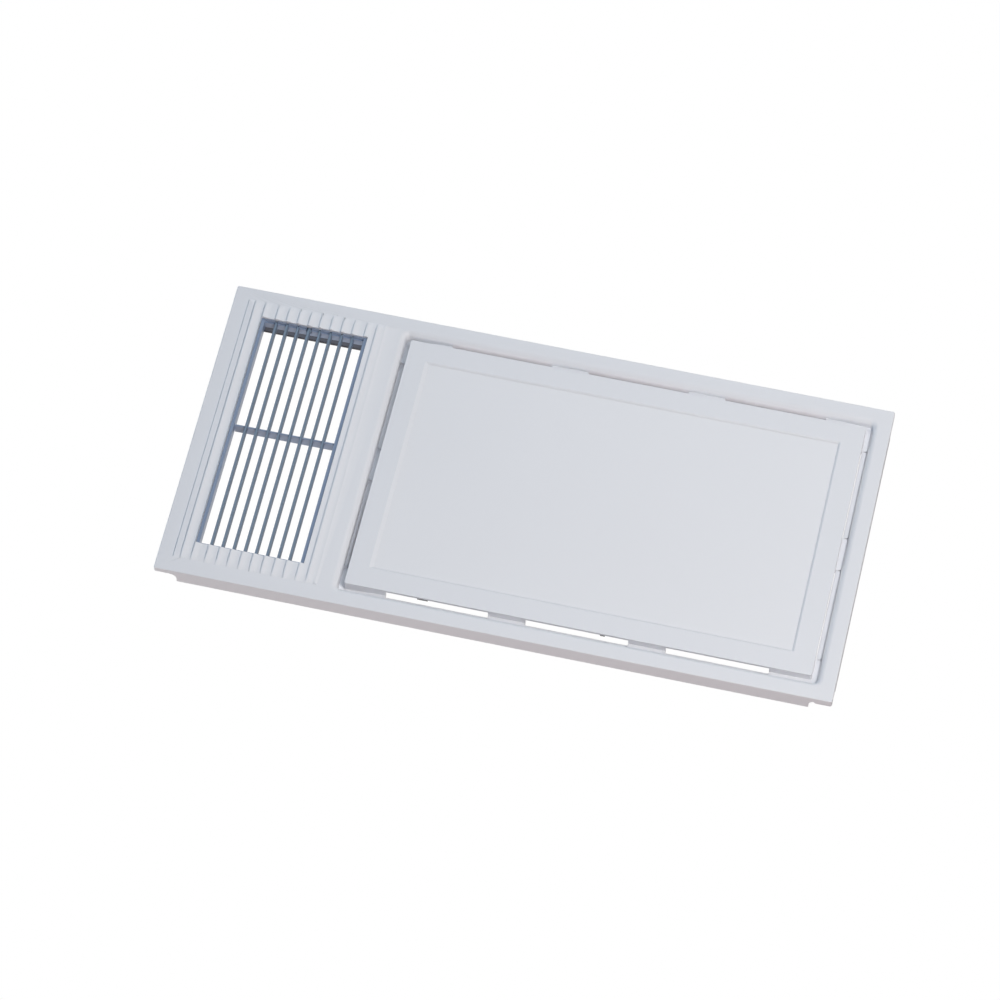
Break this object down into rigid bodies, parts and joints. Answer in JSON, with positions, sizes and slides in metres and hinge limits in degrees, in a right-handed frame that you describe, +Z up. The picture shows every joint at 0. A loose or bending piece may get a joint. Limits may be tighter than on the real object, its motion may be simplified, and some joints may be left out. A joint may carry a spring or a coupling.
{
  "type": "bathroom ceiling heater face unit",
  "caption": "Flat white ceiling heater face with a grey swinging louvre, a wide square-cornered light and air intakes round it.",
  "frame": {"origin": "middle of the room face of the panel, on the ceiling plane", "axes": "+X along the long side, away from the warm-air outlet; +Z up into the ceiling; the room is towards -Z"},
  "size_m": [0.6, 0.3, 0.0272],
  "materials": {
    "white_abs": "satin",
    "slate_louvre": "satin",
    "dark_collar": "matt",
    "zinc_steel": "satin",
    "black_nylon": "matt",
    "grey_foam": "matt",
    "motor_can": "satin",
    "opal_diffuser": "satin",
    "clear_guide": "gloss",
    "white_board": "satin",
    "white_sheet": "matt",
    "green_board": "satin"
  },
  "bodies": {
    "panel": {"face_panel": "white_abs", "louvre_frame": "slate_louvre", "louvre_motor": "motor_can", "outlet_collar": "dark_collar", "collar_gasket": "grey_foam", "diffuser": "opal_diffuser", "light_guide": "clear_guide", "led_strip_front": "white_board", "led_strip_rear": "white_board", "reflector_sheet": "white_sheet", "light_pan": "zinc_steel", "driver_case": "white_abs", "driver_cover": "white_abs", "driver_board": "green_board", "light_terminal": "black_nylon", "lead_clip": "black_nylon", "louvre_screw_1": "zinc_steel", "louvre_screw_2": "zinc_steel", "louvre_screw_3": "zinc_steel", "louvre_screw_4": "zinc_steel", "louvre_screw_5": "zinc_steel", "louvre_screw_6": "zinc_steel", "light_screw_1": "zinc_steel", "light_screw_2": "zinc_steel", "light_screw_3": "zinc_steel", "light_screw_4": "zinc_steel", "light_screw_5": "zinc_steel", "light_screw_6": "zinc_steel", "light_screw_7": "zinc_steel", "light_screw_8": "zinc_steel", "light_screw_9": "zinc_steel", "light_screw_10": "zinc_steel", "motor_screw_1": "zinc_steel", "motor_screw_2": "zinc_steel", "driver_screw_1": "zinc_steel", "driver_screw_2": "zinc_steel"},
    "vane_1_body": {"vane_1": "slate_louvre"},
    "vane_2_body": {"vane_2": "slate_louvre"},
    "vane_3_body": {"vane_3": "slate_louvre"},
    "vane_4_body": {"vane_4": "slate_louvre", "motor_shaft": "zinc_steel"},
    "vane_5_body": {"vane_5": "slate_louvre"},
    "vane_6_body": {"vane_6": "slate_louvre"},
    "vane_7_body": {"vane_7": "slate_louvre"},
    "vane_8_body": {"vane_8": "slate_louvre"},
    "link_body": {"vane_link": "black_nylon"}
  },
  "joints": [
    {"name": "vane_1_swing", "type": "hinge", "parent": "panel", "child": "vane_1_body", "pos_m": [-0.257, -0.00175, 0.0053], "axis": [0, 1, 0], "range_deg": [-40, 40]},
    {"name": "vane_2_swing", "type": "hinge", "parent": "panel", "child": "vane_2_body", "pos_m": [-0.247, -0.00175, 0.0053], "axis": [0, 1, 0], "range_deg": [-40, 40]},
    {"name": "vane_3_swing", "type": "hinge", "parent": "panel", "child": "vane_3_body", "pos_m": [-0.237, -0.00175, 0.0053], "axis": [0, 1, 0], "range_deg": [-40, 40]},
    {"name": "vane_4_swing", "type": "hinge", "parent": "panel", "child": "vane_4_body", "pos_m": [-0.227, -0.00175, 0.0053], "axis": [0, 1, 0], "range_deg": [-40, 40]},
    {"name": "vane_5_swing", "type": "hinge", "parent": "panel", "child": "vane_5_body", "pos_m": [-0.217, -0.00175, 0.0053], "axis": [0, 1, 0], "range_deg": [-40, 40]},
    {"name": "vane_6_swing", "type": "hinge", "parent": "panel", "child": "vane_6_body", "pos_m": [-0.207, -0.00175, 0.0053], "axis": [0, 1, 0], "range_deg": [-40, 40]},
    {"name": "vane_7_swing", "type": "hinge", "parent": "panel", "child": "vane_7_body", "pos_m": [-0.197, -0.00175, 0.0053], "axis": [0, 1, 0], "range_deg": [-40, 40]},
    {"name": "vane_8_swing", "type": "hinge", "parent": "panel", "child": "vane_8_body", "pos_m": [-0.187, -0.00175, 0.0053], "axis": [0, 1, 0], "range_deg": [-40, 40]},
    {"name": "link_swing", "type": "hinge", "parent": "vane_4_body", "child": "link_body", "pos_m": [-0.227, -0.1244, 0.0095], "axis": [0, 1, 0], "range_deg": [-40, 40]}
  ],
  "couplings": [
    {"joint": "vane_1_swing", "follows": "vane_4_swing", "ratio": 1},
    {"joint": "vane_2_swing", "follows": "vane_4_swing", "ratio": 1},
    {"joint": "vane_3_swing", "follows": "vane_4_swing", "ratio": 1},
    {"joint": "vane_5_swing", "follows": "vane_4_swing", "ratio": 1},
    {"joint": "vane_6_swing", "follows": "vane_4_swing", "ratio": 1},
    {"joint": "vane_7_swing", "follows": "vane_4_swing", "ratio": 1},
    {"joint": "vane_8_swing", "follows": "vane_4_swing", "ratio": 1},
    {"joint": "link_swing", "follows": "vane_4_swing", "ratio": -1}
  ]
}
